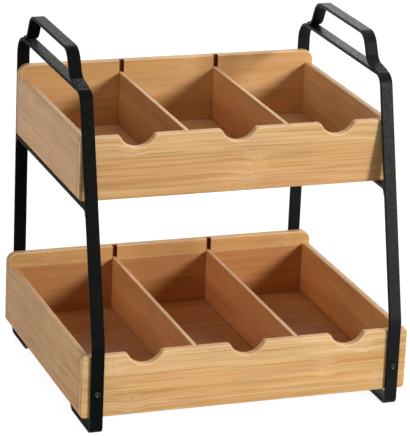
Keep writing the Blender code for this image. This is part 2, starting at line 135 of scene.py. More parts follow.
def carve(piece, cutters):
    """Cuts the given meshes out of a piece and keeps the result as its mesh."""
    helpers = []
    for mesh_data in cutters:
        bmesh.ops.recalc_face_normals(mesh_data, faces=mesh_data.faces)
        mesh = bpy.data.meshes.new("cutter")
        mesh_data.to_mesh(mesh)
        mesh_data.free()
        helper = bpy.data.objects.new("cutter", mesh)
        bpy.context.scene.collection.objects.link(helper)
        modifier = piece.modifiers.new("cut", "BOOLEAN")
        modifier.operation = "DIFFERENCE"
        modifier.solver = "EXACT"
        modifier.object = helper
        helpers.append(helper)
    bpy.context.view_layer.update()
    evaluated = piece.evaluated_get(bpy.context.evaluated_depsgraph_get())
    mesh = bpy.data.meshes.new_from_object(evaluated)
    piece.modifiers.clear()
    piece.data = mesh
    for helper in helpers:
        bpy.data.objects.remove(helper, do_unlink=True)


def soften(piece):
    """Smooth shading that keeps flat faces flat and sharp corners sharp."""
    piece.data.shade_smooth()
    piece.data.set_sharp_from_angle(angle=SHADING_ANGLE)
    modifier = piece.modifiers.new("face_weights", "WEIGHTED_NORMAL")
    modifier.keep_sharp = True


def box_mesh(low, high):
    mesh_data = bmesh.new()
    bmesh.ops.create_cube(mesh_data, size=1)
    size = [b - a for a, b in zip(low, high)]
    middle = [(a + b) / 2 for a, b in zip(low, high)]
    bmesh.ops.scale(mesh_data, verts=mesh_data.verts, vec=size)
    bmesh.ops.translate(mesh_data, verts=mesh_data.verts, vec=middle)
    return mesh_data


def round_edges(mesh_data, edges, radius, segments=EDGE_SEGMENTS):
    bmesh.ops.bevel(mesh_data, geom=edges, offset=radius, offset_type="OFFSET", segments=segments,
                    profile=0.5, affect="EDGES", clamp_overlap=True)


def sharp_edges(mesh_data):
    return [edge for edge in mesh_data.edges if edge.calc_face_angle(0) > ROUNDING_ANGLE]


def fillet_path(corners, closed):
    """Points of a path through (a, b, radius) corners, with an arc at each corner."""
    points = []
    count = len(corners)
    for index, (a, b, radius) in enumerate(corners):
        here = Vector((a, b))
        at_end = not closed and index in (0, count - 1)
        if at_end or radius == 0:
            points.append(here)
            continue
        before = (Vector(corners[index - 1][:2]) - here).normalized()
        after = (Vector(corners[(index + 1) % count][:2]) - here).normalized()
        turn = math.pi - before.angle(after)
        reach = radius * math.tan(turn / 2)
        side = 1 if before.cross(after) < 0 else -1
        start = here + before * reach
        normal = Vector((before.y, -before.x)) * side
        centre = start + normal * radius
        steps = max(2, math.ceil(turn / ARC_STEP))
        for step in range(steps + 1):
            arm = start - centre
            arm.rotate(Matrix.Rotation(side * turn * step / steps, 2))
            points.append(centre + arm)
    return points


def mitre_normals(points, closed):
    """Sideways vectors, to the right of the path, that keep an offset line parallel to it."""
    normals = []
    count = len(points)
    for index, here in enumerate(points):
        arms = []
        if closed or index > 0:
            arms.append((here - points[index - 1]).normalized())
        if closed or index < count - 1:
            arms.append((points[(index + 1) % count] - here).normalized())
        sides = [Vector((arm.y, -arm.x)) for arm in arms]
        total = sum(sides, Vector((0, 0)))
        total.normalize()
        normals.append(total / total.dot(sides[0]))
    return normals


def strip_section(width):
    """Outline of the strip's cross section as (across, through) pairs, with rounded edges."""
    half = width / 2
    outline = []
    far = STRIP_THICKNESS - STRIP_ROUND
    centres = ((half - STRIP_ROUND, STRIP_ROUND), (half - STRIP_ROUND, far),
               (STRIP_ROUND - half, far), (STRIP_ROUND - half, STRIP_ROUND))
    for quarter, (across, through) in enumerate(centres):
        for step in range(EDGE_SEGMENTS + 1):
            angle = math.pi / 2 * (quarter - 1 + step / EDGE_SEGMENTS)
            outline.append((across + STRIP_ROUND * math.cos(angle),
                            through + STRIP_ROUND * math.sin(angle)))
    return outline


def bridge_rings(mesh_data, rings, closed):
    pairs = list(zip(rings, rings[1:]))
    if closed:
        pairs.append((rings[-1], rings[0]))
    for ring, following in pairs:
        for side in range(len(ring)):
            turn = (side + 1) % len(ring)
            mesh_data.faces.new((ring[side], ring[turn], following[turn], following[side]))
    if not closed:
        mesh_data.faces.new(rings[0])
        mesh_data.faces.new(rings[-1])


def sweep_strip(path, centre_x, width, closed, end_thickness=STRIP_THICKNESS):
    """A bent strip whose outer face follows the path of (y, z) points, its width along X."""
    mesh_data = bmesh.new()
    rings = []
    for index, (point, normal) in enumerate(zip(path, mitre_normals(path, closed))):
        at_end = not closed and index in (0, len(path) - 1)
        share = end_thickness / STRIP_THICKNESS if at_end else 1
        ring = []
        for across, through in strip_section(width):
            y, z = point + normal * (STRIP_THICKNESS - (STRIP_THICKNESS - through) * share)
            ring.append(mesh_data.verts.new((centre_x + across, y, z)))
        rings.append(ring)
    bridge_rings(mesh_data, rings, closed)
    return mesh_data


def extrude_outline(points, place, shift):
    """A board from a closed outline: place maps a point to 3D, shift is the thickness vector."""
    mesh_data = bmesh.new()
    face = mesh_data.faces.new([mesh_data.verts.new(place(point)) for point in points])
    grown = bmesh.ops.extrude_face_region(mesh_data, geom=[face])
    moved = [item for item in grown["geom"] if isinstance(item, bmesh.types.BMVert)]
    bmesh.ops.translate(mesh_data, verts=moved, vec=shift)
    bmesh.ops.recalc_face_normals(mesh_data, faces=mesh_data.faces)
    mesh_data.normal_update()
    return mesh_data


def notch_outline(middle, rim):
    """A thumb notch from right to left: a round hollow between two rounded lips."""
    rise = NOTCH_RADIUS - NOTCH_DEPTH
    drop = rise + NOTCH_LIP_RADIUS
    reach = math.sqrt((NOTCH_RADIUS + NOTCH_LIP_RADIUS) ** 2 - drop ** 2)
    swing = math.acos(drop / (NOTCH_RADIUS + NOTCH_LIP_RADIUS))
    half = []
    steps = math.ceil(swing / ARC_STEP)
    for step in range(steps):
        angle = swing * step / steps
        half.append((reach - NOTCH_LIP_RADIUS * math.sin(angle),
                     rim - NOTCH_LIP_RADIUS + NOTCH_LIP_RADIUS * math.cos(angle)))
    for step in range(steps + 1):
        angle = swing * (1 - step / steps)
        half.append((NOTCH_RADIUS * math.sin(angle), rim + rise - NOTCH_RADIUS * math.cos(angle)))
    right = [(middle + x, z) for x, z in half]
    left = [(middle - x, z) for x, z in reversed(half[:-1])]
    return right + left


def groove_boxes(tray, rim):
    """Corners of the upright grooves that the dividers stand in."""
    boxes = []
    for side_name, _ in SIDES:
        low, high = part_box(tray + "_" + side_name + "_divider")
        low = low - Vector((PLAY, PLAY, 0))
        boxes.append((low, Vector((high.x + PLAY, high.y + PLAY, rim + OVERRUN))))
    return boxes


def floor_groove(tray):
    """The groove that holds the floor, as a mesh to cut out of the walls."""
    low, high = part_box(tray + "_floor")
    gap = Vector((PLAY, PLAY, PLAY))
    return box_mesh(low - gap, high + gap)


def rout(panel, tray, rim):
    """Cuts the grooves into a front or back panel and gives their walls the routed finish."""
    grooves = groove_boxes(tray, rim)
    carve(panel, [box_mesh(*corners) for corners in grooves] + [floor_groove(tray)])
    panel.data.materials.append(routed_bamboo(panel.name))
    touch = Vector((GLUE_GAP, GLUE_GAP, GLUE_GAP))
    for low, high in grooves:
        low, high = low - touch, high + touch
        for face in panel.data.polygons:
            upright = abs(face.normal.z) < abs(face.normal.x) + abs(face.normal.y)
            if upright and all(a < b < c for a, b, c in zip(low, face.center, high)):
                face.material_index = 1


def front_outline(tray):
    low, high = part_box(tray + "_front_panel")
    corners = [(-high.x, low.z), (high.x, low.z), (high.x, high.z), (-high.x, high.z)]
    corners = fillet_path([(*corner, TRAY_CORNER_RADIUS) for corner in corners], closed=True)
    last_corner = len(corners) * 3 // 4
    outline = corners[:last_corner]
    for index in reversed(range(COMPARTMENTS)):
        outline += notch_outline((index - (COMPARTMENTS - 1) / 2) * PITCH[tray], high.z)
    return outline + corners[last_corner:]


def back_outline(tray):
    low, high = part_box(tray + "_back_panel")
    corners = [(-high.x, low.z, TRAY_CORNER_RADIUS), (high.x, low.z, TRAY_CORNER_RADIUS),
               (high.x, high.z, BACK_CORNER_RADIUS), (-high.x, high.z, BACK_CORNER_RADIUS)]
    return fillet_path(corners, closed=True)


def build_panel(tray, name, outline, face_y, depth):
    """A front or back panel whose outline lies at face_y, with depth as its thickness along Y."""
    board = extrude_outline(outline, lambda p: (p[0], face_y, p[1]), (0, depth, 0))
    round_edges(board, sharp_edges(board), BOARD_ROUND)
    panel = place_piece(name + "_board", board, name, BODY, bamboo(name, "X", "Z"))
    rout(panel, tray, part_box(tray + "_back_panel")[1].z)
    soften(panel)


def build_side(tray, side_name, side):
    """A side board from the front panel to the back panel, its outer long edges rounded most."""
    name = tray + "_" + side_name + "_side"
    low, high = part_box(name)
    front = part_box(tray + "_front_panel")[1].y + GLUE_GAP
    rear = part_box(tray + "_back_panel")[0].y - GLUE_GAP
    board = box_mesh((low.x, front, low.z), (high.x, rear, high.z))
    wall = high.x - low.x
    for facing, radius in ((side, TRAY_CORNER_RADIUS), (-side, BOARD_ROUND)):
        long_edges = [e for e in board.edges if abs(e.verts[0].co.y - e.verts[1].co.y) > wall]
        place = high.x if facing > 0 else low.x
        edges = [e for e in long_edges if abs(e.verts[0].co.x - place) < GLUE_GAP]
        round_edges(board, edges, radius)
    panel = place_piece(name + "_board", board, name, BODY, bamboo(name, "Y", "Z"))
    carve(panel, [floor_groove(tray)])
    soften(panel)


def build_divider(name):
    board = box_mesh(*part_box(name))
    round_edges(board, board.edges[:], DIVIDER_ROUND, DIVIDER_SEGMENTS)
    divider = place_piece(name + "_board", board, name, name,
                          bamboo(name, "Y", "Z"))
    soften(divider)


def build_tray(tray):
    front = tray + "_front_panel"
    low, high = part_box(front)
    build_panel(tray, front, front_outline(tray), low.y, high.y - low.y)
    back = tray + "_back_panel"
    low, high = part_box(back)
    build_panel(tray, back, back_outline(tray), high.y, low.y - high.y)
    for side_name, side in SIDES:
        build_side(tray, side_name, side)
        build_divider(tray + "_" + side_name + "_divider")
    floor = tray + "_floor"
    dress(floor, bamboo(floor, "X", "Y"))


def dress(node, material):
    """Gives a CAD node, whose shape is right, a better material."""
    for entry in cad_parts[node].material_slots:
        entry.material = material


class FrameLine:
    """Places along a side frame, worked out from its box and the trays' boxes."""

    def __init__(self, side_name):
        low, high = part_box(side_name + "_frame")
        _, lower_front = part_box("lower_front_panel")
        upper_low, upper_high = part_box("upper_front_panel")
        self.centre = (low.x + high.x) / 2
        self.width = high.x - low.x
        self.front = low.y
        self.rear = high.y
        self.height = high.z
        self.lower_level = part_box("lower_front_panel")[0].z
        self.upper_level = upper_low.z
        self.knee = lower_front.z + KNEE_RISE
        rise = upper_high.z - self.knee
        contact = upper_low.y - RIM_CLEARANCE
        self.lean = (contact - STRIP_THICKNESS - self.front) / rise
        for _ in range(LEAN_ROUNDS):
            through = STRIP_THICKNESS * math.sqrt(1 + self.lean ** 2)
            self.lean = (contact - through - self.front) / rise

    def leg_y(self, z, through):
        return self.front + self.lean * (z - self.knee) + through * math.sqrt(1 + self.lean ** 2)

    def hoop(self):
        rise = self.lower_level - PLAY - STRIP_THICKNESS
        front_toe = self.front + FRONT_FOOT_LENGTH
        rear_toe = self.rear - REAR_FOOT_LENGTH
        corners = [
            (self.front, 0, FOOT_BEND_RADIUS),
            (self.front, self.knee, KNEE_RADIUS),
            (self.leg_y(self.height, 0), self.height, SHOULDER_RADIUS),
            (self.rear, self.height, REAR_CORNER_RADIUS),
            (self.rear, 0, FOOT_BEND_RADIUS),
            (rear_toe, 0, RAMP_BEND_RADIUS),
            (rear_toe - RAMP_LENGTH, rise, RAMP_BEND_RADIUS + STRIP_THICKNESS),
            (front_toe + RAMP_LENGTH, rise, RAMP_BEND_RADIUS + STRIP_THICKNESS),
            (front_toe, 0, RAMP_BEND_RADIUS),
        ]
        return fillet_path(corners, closed=True)

    def handle(self):
        foot = self.height + GLUE_GAP + STRIP_THICKNESS
        top = self.height + HANDLE_RISE
        spread = (top - foot) * math.tan(HANDLE_LEAN)
        turn = (math.pi / 2 - math.atan(self.lean)) / 2
        flat_front = self.leg_y(self.height, 0) + SHOULDER_RADIUS * math.tan(turn)
        flat_rear = self.rear - REAR_CORNER_RADIUS
        bend_reach = HANDLE_FOOT_BEND_RADIUS * math.tan((math.pi / 2 - HANDLE_LEAN) / 2)
        front_bend = flat_front + HANDLE_FRONT_FOOT_LENGTH + bend_reach
        rear_bend = flat_rear - HANDLE_REAR_FOOT_LENGTH - bend_reach
        corners = [
            (flat_front, foot, 0),
            (front_bend, foot, HANDLE_FOOT_BEND_RADIUS),
            (front_bend + spread, top, HANDLE_CORNER_RADIUS),
            (rear_bend - spread, top, HANDLE_CORNER_RADIUS),
            (rear_bend, foot, HANDLE_FOOT_BEND_RADIUS),
            (flat_rear, foot, 0),
        ]
        return fillet_path(corners, closed=False)

    def support(self):
        top = self.upper_level - GLUE_GAP
        under = top - STRIP_THICKNESS
        toe = under - WELD_RADIUS - WELD_TOE
        through = STRIP_THICKNESS + GLUE_GAP
        rear = self.rear - through
        corners = [
            (self.leg_y(top, through), top, 0),
            (rear, top, 0),
            (rear, toe, 0),
            (rear - WELD_TOE, toe, 0),
            (rear - WELD_TOE, under, WELD_RADIUS),
            (self.leg_y(under, through) + WELD_TOE, under, WELD_RADIUS),
            (self.leg_y(toe, through) + WELD_TOE, toe, 0),
            (self.leg_y(toe, through), toe, 0),
        ]
        return fillet_path(corners, closed=True)


def place_strip(node, mesh_data, material):
    soften(place_piece(node + "_strip", mesh_data, node, BODY, material))


def build_frame(side_name, material):
    line = FrameLine(side_name)
    hoop = sweep_strip(line.hoop(), line.centre, line.width, closed=True)
    place_strip(side_name + "_frame", hoop, material)
    handle = sweep_strip(line.handle(), line.centre, line.width, closed=False,
                         end_thickness=HANDLE_FOOT_EDGE)
    place_strip(side_name + "_handle", handle, material)
    half = line.width / 2
    near = line.centre - half
    bar = extrude_outline(line.support(), lambda p: (near, p[0], p[1]), (line.width, 0, 0))
    rims = [e for e in sharp_edges(bar) if abs(e.verts[0].co.x - e.verts[1].co.x) < half]
    round_edges(bar, rims, WELD_ROUND, WELD_SEGMENTS)
    place_strip(side_name + "_support_bar", bar, material)


def turned_mesh(profile, seat, facing):
    """Turns (radius, height) points round an axis through the seat that points along facing."""
    mesh_data = bmesh.new()
    rings = []
    for radius, height in profile:
        angles = [2 * math.pi * side / TURNED_SIDES for side in range(TURNED_SIDES)]
        rings.append([mesh_data.verts.new((radius * math.cos(a), radius * math.sin(a), height))
                      for a in angles])
    bridge_rings(mesh_data, rings, closed=False)
    return stand(mesh_data, seat, facing)


def stand(mesh_data, seat, facing):
    turn = Vector(facing).to_track_quat("Z", "Y").to_matrix().to_4x4()
    bmesh.ops.transform(mesh_data, matrix=Matrix.Translation(seat) @ turn, verts=mesh_data.verts)
    return mesh_data


def build_screw(node, facing, material):
    """A round head with a dished middle and a cross recess, on the seat of the CAD screw's head."""
    low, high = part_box(node)
    axis = Vector(facing)
    middle = (low + high) / 2
    tip = max(corner.dot(axis) for corner in (low, high))
    seat = middle + axis * (tip - HEAD_HEIGHT - middle.dot(axis))
    profile = [(HEAD_RADIUS - HEAD_EDGE, 0)]
    rim_angle = math.acos(DISH_RADIUS / HEAD_RADIUS)
    dome_height = HEAD_HEIGHT / math.sin(rim_angle)
    for step in range(1, DOME_STEPS + 1):
        angle = rim_angle * step / DOME_STEPS
        profile.append((HEAD_RADIUS * math.cos(angle), dome_height * math.sin(angle)))
    dish_drop = (DISH_RADIUS - DISH_FLOOR_RADIUS) * math.tan(DISH_SLOPE)
    profile.append((DISH_FLOOR_RADIUS, HEAD_HEIGHT - dish_drop))
    screw = place_piece(node + "_head", turned_mesh(profile, seat, facing), node, BODY,
                        material)
    cutters = []
    for across, upright in ((RECESS_LENGTH, RECESS_WIDTH), (RECESS_WIDTH, RECESS_LENGTH)):
        slot_low = (-across / 2, -upright / 2, RECESS_FLOOR)
        slot_high = (across / 2, upright / 2, 2 * HEAD_HEIGHT)
        cutters.append(stand(box_mesh(slot_low, slot_high), seat, facing))
    carve(screw, cutters)
    soften(screw)


class Nodes:
    """Short calls for making a node tree."""

    def __init__(self, name):
        self.material = bpy.data.materials.new(name)
        self.material.use_nodes = True
        self.tree = self.material.node_tree
        self.shader = self.tree.nodes["Principled BSDF"]

    def add(self, kind, inputs=(), **settings):
        node = self.tree.nodes.new(kind)
        for key, value in settings.items():
            setattr(node, key, value)
        for key, value in dict(inputs).items():
            if isinstance(value, bpy.types.NodeSocket):
                self.tree.links.new(value, node.inputs[key])
            else:
                node.inputs[key].default_value = value
        return node

    def math(self, operation, *values):
        node = self.add("ShaderNodeMath", dict(enumerate(values)), operation=operation)
        return node.outputs[0]

    def stretch(self, value, low, high, to_low=0.0, to_high=1.0):
        """Maps low..high to to_low..to_high, held at both ends."""
        node = self.add("ShaderNodeMapRange", {"Value": value, "From Min": low, "From Max": high,
                                               "To Min": to_low, "To Max": to_high})
        return node.outputs[0]

    def noise(self, vector, scale, detail=2.0, roughness=0.5):
        node = self.add("ShaderNodeTexNoise", {"Vector": vector, "Scale": scale, "Detail": detail,
                                               "Roughness": roughness})
        return node.outputs[0]

    def vector(self, x, y, z):
        return self.add("ShaderNodeCombineXYZ", {"X": x, "Y": y, "Z": z}).outputs[0]

    def blend(self, share, first, second, mode="MIX"):
        node = self.add("ShaderNodeMix", data_type="RGBA", blend_type=mode)
        for index, value in ((0, share), (6, first), (7, second)):
            if isinstance(value, bpy.types.NodeSocket):
                self.tree.links.new(value, node.inputs[index])
            else:
                node.inputs[index].default_value = value if index == 0 else (*value, 1)
        return node.outputs[2]

    def link(self, socket, name):
        self.tree.links.new(socket, self.shader.inputs[name])

    def bump(self, height, strength, distance):
        node = self.add("ShaderNodeBump", {"Height": height, "Strength": strength,
                                           "Distance": distance})
        self.link(node.outputs[0], "Normal")


# Bamboo, in linear colour
STRAW = (0.82, 0.50, 0.215)
HONEY = (0.74, 0.42, 0.155)
ROSE = (0.78, 0.435, 0.215)
CARAMEL = (0.60, 0.285, 0.085)
FIBRE = (0.46, 0.20, 0.055)
PALE = (0.86, 0.58, 0.30)
BLUSH = (0.76, 0.375, 0.17)
END_GRAIN = (0.87, 0.56, 0.31)
# Pale tone painted on the tops and upward-facing rounded edges of the boards as a highlight
PAINTED_RIM_HIGHLIGHT = (1.0, 0.635, 0.325)
NODE_MARK = (0.40, 0.16, 0.04)
GLUE = (0.40, 0.19, 0.065)
# Dark tone of a groove's walls
GROOVE_WALL_TONE = (0.15, 0.036, 0.004)

# Strips of a board and the growth rings across them, in metres and waves per metre
LAMINA = 0.0187
NODE_SPACING = 0.23
RING_BEND = 0.011
RING_BEND_MIDDLE = 0.42
RING_BEND_WAVES = 130
GRAIN_WANDER = 0.004
RING_SWIRL = 0.0042
SWIRL_REACH = (0.002, 0.016)
STRIP_OFFSET = 0.37
BELOW_TOP_STRIP = (-0.0006, 0.0003)
FIBRE_BUMP = 0.0002

# A board's name gives the numbers that make its grain its own
SEEDS = 97
SEEDS_PER_METRE = 7
STRIPS_PER_SEED = 9
CANE_STEP = 17

# Noises in the wood: waves per metre along, across and through a board, then detail and roughness
WOOD_NOISES = {
    "wander": (10, 26, 1, 2.0, 0.5),
    "swirl": (170, 170, 1, 2.0, 0.5),
    "coarse": (4, 260, 260, 3.0, 0.6),
    "blush": (7, 120, 1, 2.0, 0.5),
    "fibres": (11, 640, 640, 4.0, 0.6),
    "speckle": (260, 700, 700, 2.0, 0.6),
    "shade": (12, 60, 1, 3.0, 0.5),
}

# Streaks in the wood: their noise, where on it they begin and are full, their strength and colour
STREAKS = (
    ("blush", 0.46, 0.66, 0.55, BLUSH),
    ("coarse", 0.48, 0.72, 0.50, CARAMEL),
    ("coarse", 0.46, 0.28, 0.50, PALE),
    ("fibres", 0.48, 0.70, 0.52, FIBRE),
)

# How much shows of each strip's own tones and of the glue, and where a seam begins and is full,
# in strips from the strip's middle
HONEY_SHARE = 0.8
ROSE_SHARE = 0.6
GLUE_SHARE = 0.22
SEAM_BAND = (0.485, 0.5)

# A growth ring's glow, specks and broken line: their reach from it in metres, how much of them
# shows, and the part of the noise that makes them
GLOW_REACH = (0.001, 0.014)
GLOW_SHARE = 0.35
SPECK_REACH = (0.002, 0.010)
SPECK_SHARE = 0.35
SPECK_NOISE = (0.56, 0.70)
LINE_REACH = (0.0003, 0.0022)
LINE_SHARES = (0.06, 0.5)
LINE_NOISE = (0.40, 0.65)

# Which way a surface faces where it counts as a rounded edge, a top or an end of a board, how far
# an end reaches into the board in metres, and how much of the painted highlight shows on
# upward-facing rounded edges
EDGE_BEGINS = (0.15, 0.4)
EDGE_ENDS = (0.85, 0.97)
EDGE_RISES = (0.02, 0.2)
TOP_FACING = (0.6, 0.95)
END_FACING = (0.9, 0.99)
END_DEPTH = (0.003, 0.001)
END_SHARE = 0.85
EDGE_HIGHLIGHT_SHARE = 0.8

# Where most of a noise lies
NOISE_RANGE = (0.3, 0.7)

# Finish of the wood
WOOD_SHADES = (0.90, 1.08)
# Length in metres over which a board's painted light ramp is given
PAINTED_RAMP_LENGTH = 0.1
WOOD_ROUGHNESS = (0.40, 0.56)
WOOD_IOR = 1.45
GLOSS = 0.3
TOP_GLOSS = 0.3 * GLOSS
WOOD_BUMP = 0.35
FIBRE_HEIGHT = -0.7
SEAM_HEIGHT = -0.4

# Dark walls of a groove: a noise's waves per metre, detail and roughness, where on it the tone
# changes, how much lighter the wood gets, and its finish
GROOVE_NOISE = (400.0, 3.0, 0.6)
GROOVE_RANGE = (0.35, 0.65)
GROOVE_LIGHTER = 1.8
GROOVE_ROUGHNESS = (0.6, 0.8)
GROOVE_BUMP = 0.3

# Each kind of board: its tone against plain bamboo, partly its own and partly painted shade and
# light, made darker for the floors, the dividers, most of all the upper left divider, and the back
# panels, which lie in the trays' shade, how strong its grain is, how much painted highlight its
# tops get, and how much paler it gets over a decimetre of its length towards its right end, a
# painted light that leaves its left end darker
BOARDS = {
    "upper_front_panel": ((0.91, 1.0, 1.06), 1.35, 0.9, 0.02),
    "lower_front_panel": ((0.98, 1.13, 1.25), 1.3, 0.9, 0.0),
    "upper_back_panel": ((0.89, 0.90, 0.84), 0.6, 0.8, 0.10),
    "lower_back_panel": ((0.87, 0.87, 0.78), 0.6, 0.8, 0.09),
    "upper_left_side": ((1.04, 1.03, 1.06), 0.75, 0.3, 0.0),
    "lower_left_side": ((0.99, 0.97, 0.78), 1.6, 0.3, 0.0),
    "upper_right_side": ((0.91, 0.94, 0.98), 0.7, 0.85, 0.0),
    "lower_right_side": ((1.10, 1.03, 0.92), 0.7, 0.85, 0.0),
    "upper_left_divider": ((0.68, 0.60, 0.55), 0.65, 1.0, 0.0),
    "divider": ((0.98, 0.83, 0.73), 0.65, 1.0, 0.0),
    "floor": ((0.82, 0.78, 0.88), 0.8, 0.0, 0.0),
    "dowel": ((1.0, 1.0, 1.0), 1.0, 0.0, 0.0),
}

# Boards whose top strip is paler: its height, and how much darker the strips below it are; on the
# lower back panel the darker part is painted shade below the level of the front panel's rim
TOP_STRIPS = {
    "front_panel": (0.0187, (0.935, 0.845, 0.745)),
    "lower_back_panel": (0.0140, (0.76, 0.62, 0.56)),
}


def look_of(name, looks, otherwise=None):
    """The look in a table for the first kind that is in the name."""
    return next((look for kind, look in looks.items() if kind in name), otherwise)


class WoodNodes(Nodes):
    """Laminated bamboo whose strips run along one axis and lie side by side across another."""

    def __init__(self, name, along, across):
        super().__init__(name + "_bamboo")
        self.tint, self.grain, self.sanding, self.painted_light_ramp = look_of(name, BOARDS)
        self.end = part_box(name)[1].x
        self.along = along
        self.through = next(axis for axis in "YXZ" if axis not in (along, across))
        top_strip, self.darker = look_of(name, TOP_STRIPS, (LAMINA, None))
        place = self.add("ShaderNodeTexCoord").outputs["Object"]
        self.place = self.add("ShaderNodeSeparateXYZ", {0: place}).outputs
        seed = sum(ord(letter) * (index + 1) for index, letter in enumerate(name)) % SEEDS
        self.run = self.math("ADD", self.place[along], seed / SEEDS_PER_METRE)
        self.depth = self.place[self.through]
        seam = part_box(name)[1]["XYZ".index(across)] - top_strip
        self.from_seam = self.math("SUBTRACT", self.place[across], seam)
        self.raw = self.math("ADD", self.from_seam, STRIPS_PER_SEED * seed * LAMINA)
        self.strip = self.math("DIVIDE", self.raw, LAMINA)
        self.strip_number = self.math("FLOOR", self.strip)
        self.seam = self.seam_lines()

    def wood_noise(self, kind, across, run=None):
        *waves, detail, roughness = WOOD_NOISES[kind]
        parts = (self.run if run is None else run, across, self.depth)
        place = [self.math("MULTIPLY", part, wave) for part, wave in zip(parts, waves)]
        return self.noise(self.vector(*place), 1.0, detail, roughness)

    def chance(self, number):
        return self.add("ShaderNodeTexWhiteNoise", {"W": number}, noise_dimensions="1D").outputs

    def seam_lines(self):
        to_middle = self.math("SUBTRACT", self.math("FRACT", self.strip), 0.5)
        return self.stretch(self.math("ABSOLUTE", to_middle), *SEAM_BAND)

    def growth_rings(self):
        """Works out how far each place is from its strip's nearest growth ring."""
        ring_shift = self.chance(self.strip_number)["Value"]
        cane = self.math("ADD", self.math("DIVIDE", self.run, NODE_SPACING), ring_shift)
        piece = self.math("MULTIPLY", self.math("ROUND", cane), CANE_STEP)
        self.piece_number = self.math("ADD", piece, self.strip_number)
        ring = self.math("PINGPONG", self.math("ADD", cane, 0.5), 0.5)
        ring = self.math("MULTIPLY", ring, NODE_SPACING)
        across = self.math("MULTIPLY", self.raw, RING_BEND_WAVES)
        bend = self.noise(self.vector(across, self.piece_number, 0.0), 1.0)
        bend = self.math("SUBTRACT", bend, RING_BEND_MIDDLE)
        self.ring = self.math("ADD", ring, self.math("MULTIPLY", bend, RING_BEND))

    def strip_tones(self):
        tones = self.add("ShaderNodeSeparateColor", {0: self.chance(self.piece_number)["Color"]})
        colour = self.blend(self.math("MULTIPLY", tones.outputs[0], HONEY_SHARE), STRAW, HONEY)
        return self.blend(self.math("MULTIPLY", tones.outputs[1], ROSE_SHARE), colour, ROSE)

    def streaks(self, colour):
        """Streaks that wander along the strips and swirl at the growth rings."""
        wander = self.math("MULTIPLY", self.wood_noise("wander", self.raw), GRAIN_WANDER)
        swirl = self.stretch(self.ring, *SWIRL_REACH, RING_SWIRL, 0.0)
        swirl = self.math("MULTIPLY", self.wood_noise("swirl", self.raw), swirl)
        width = self.math("ADD", self.math("ADD", self.raw, wander), swirl)
        shifted = self.math("ADD", self.run, self.math("MULTIPLY", self.strip_number, STRIP_OFFSET))
        noises = {kind: self.wood_noise(kind, width) for kind in ("blush", "coarse")}
        noises["fibres"] = self.fibres = self.wood_noise("fibres", width, shifted)
        for kind, begin, full, strength, tone in STREAKS:
            share = self.stretch(noises[kind], begin, full, 0.0, strength * self.grain)
            colour = self.blend(share, colour, tone)
        return colour

    def ring_marks(self, colour):
        """A pale glow, dark specks and a broken dark line at each growth ring."""
        speckle = self.wood_noise("speckle", self.raw)
        colour = self.blend(self.stretch(self.ring, *GLOW_REACH, GLOW_SHARE, 0.0), colour, PALE)
        specks = self.math("MULTIPLY", self.stretch(speckle, *SPECK_NOISE),
                           self.stretch(self.ring, *SPECK_REACH, SPECK_SHARE, 0.0))
        line = self.math("MULTIPLY", self.stretch(self.ring, *LINE_REACH, 1.0, 0.0),
                         self.stretch(speckle, *LINE_NOISE, *LINE_SHARES))
        return self.blend(self.math("MAXIMUM", specks, line), colour, NODE_MARK)

    def end_grain_and_highlights(self, colour):
        """Painted highlight on the tops and upward-facing rounded edges, end grain, and less gloss
        on the tops.
        """
        normal = self.add("ShaderNodeNewGeometry").outputs["Normal"]
        facing = self.add("ShaderNodeSeparateXYZ", {0: normal}).outputs
        square = self.math("ABSOLUTE", facing[self.through])
        edge = self.math("MULTIPLY", self.stretch(square, *EDGE_BEGINS),
                         self.stretch(square, *EDGE_ENDS, 1.0, 0.0))
        rising = self.stretch(facing["Z"], *EDGE_RISES, 0.0, EDGE_HIGHLIGHT_SHARE)
        edge = self.math("MULTIPLY", edge, rising)
        top = self.stretch(facing["Z"], *TOP_FACING, 0.0, self.sanding)
        if self.along == "X":
            from_middle = self.math("ABSOLUTE", self.place["X"])
            band = [self.end - depth for depth in END_DEPTH]
            near_end = self.stretch(from_middle, *band, 0.0, END_SHARE)
            end = self.stretch(self.math("ABSOLUTE", facing["X"]), *END_FACING)
            colour = self.blend(self.math("MULTIPLY", end, near_end), colour, END_GRAIN)
        self.link(self.stretch(top, 0.0, 1.0, GLOSS, TOP_GLOSS), "Specular IOR Level")
        # Painted highlight: tops and upward-facing rounded edges blend towards a pale tone
        return self.blend(self.math("MAXIMUM", top, edge), colour, PAINTED_RIM_HIGHLIGHT)

    def shaded(self, colour):
        shade = self.stretch(self.wood_noise("shade", self.raw), *NOISE_RANGE, *WOOD_SHADES)
        # Painted light and shade: the board grows paler towards its right end and darker towards
        # its left
        if self.painted_light_ramp:
            ramp = self.math("MULTIPLY", self.place[self.along], self.painted_light_ramp / PAINTED_RAMP_LENGTH)
            shade = self.math("MULTIPLY", shade, self.math("ADD", ramp, 1.0))
        return self.add("ShaderNodeHueSaturation", {"Color": colour, "Value": shade}).outputs[0]

    def surface(self, colour):
        self.link(colour, "Base Color")
        self.link(self.stretch(self.fibres, *NOISE_RANGE, *WOOD_ROUGHNESS), "Roughness")
        self.shader.inputs["IOR"].default_value = WOOD_IOR
        self.shader.inputs["Specular IOR Level"].default_value = GLOSS
        height = self.math("ADD", self.math("MULTIPLY", self.fibres, FIBRE_HEIGHT),
                           self.math("MULTIPLY", self.seam, SEAM_HEIGHT))
        self.bump(height, WOOD_BUMP, FIBRE_BUMP)


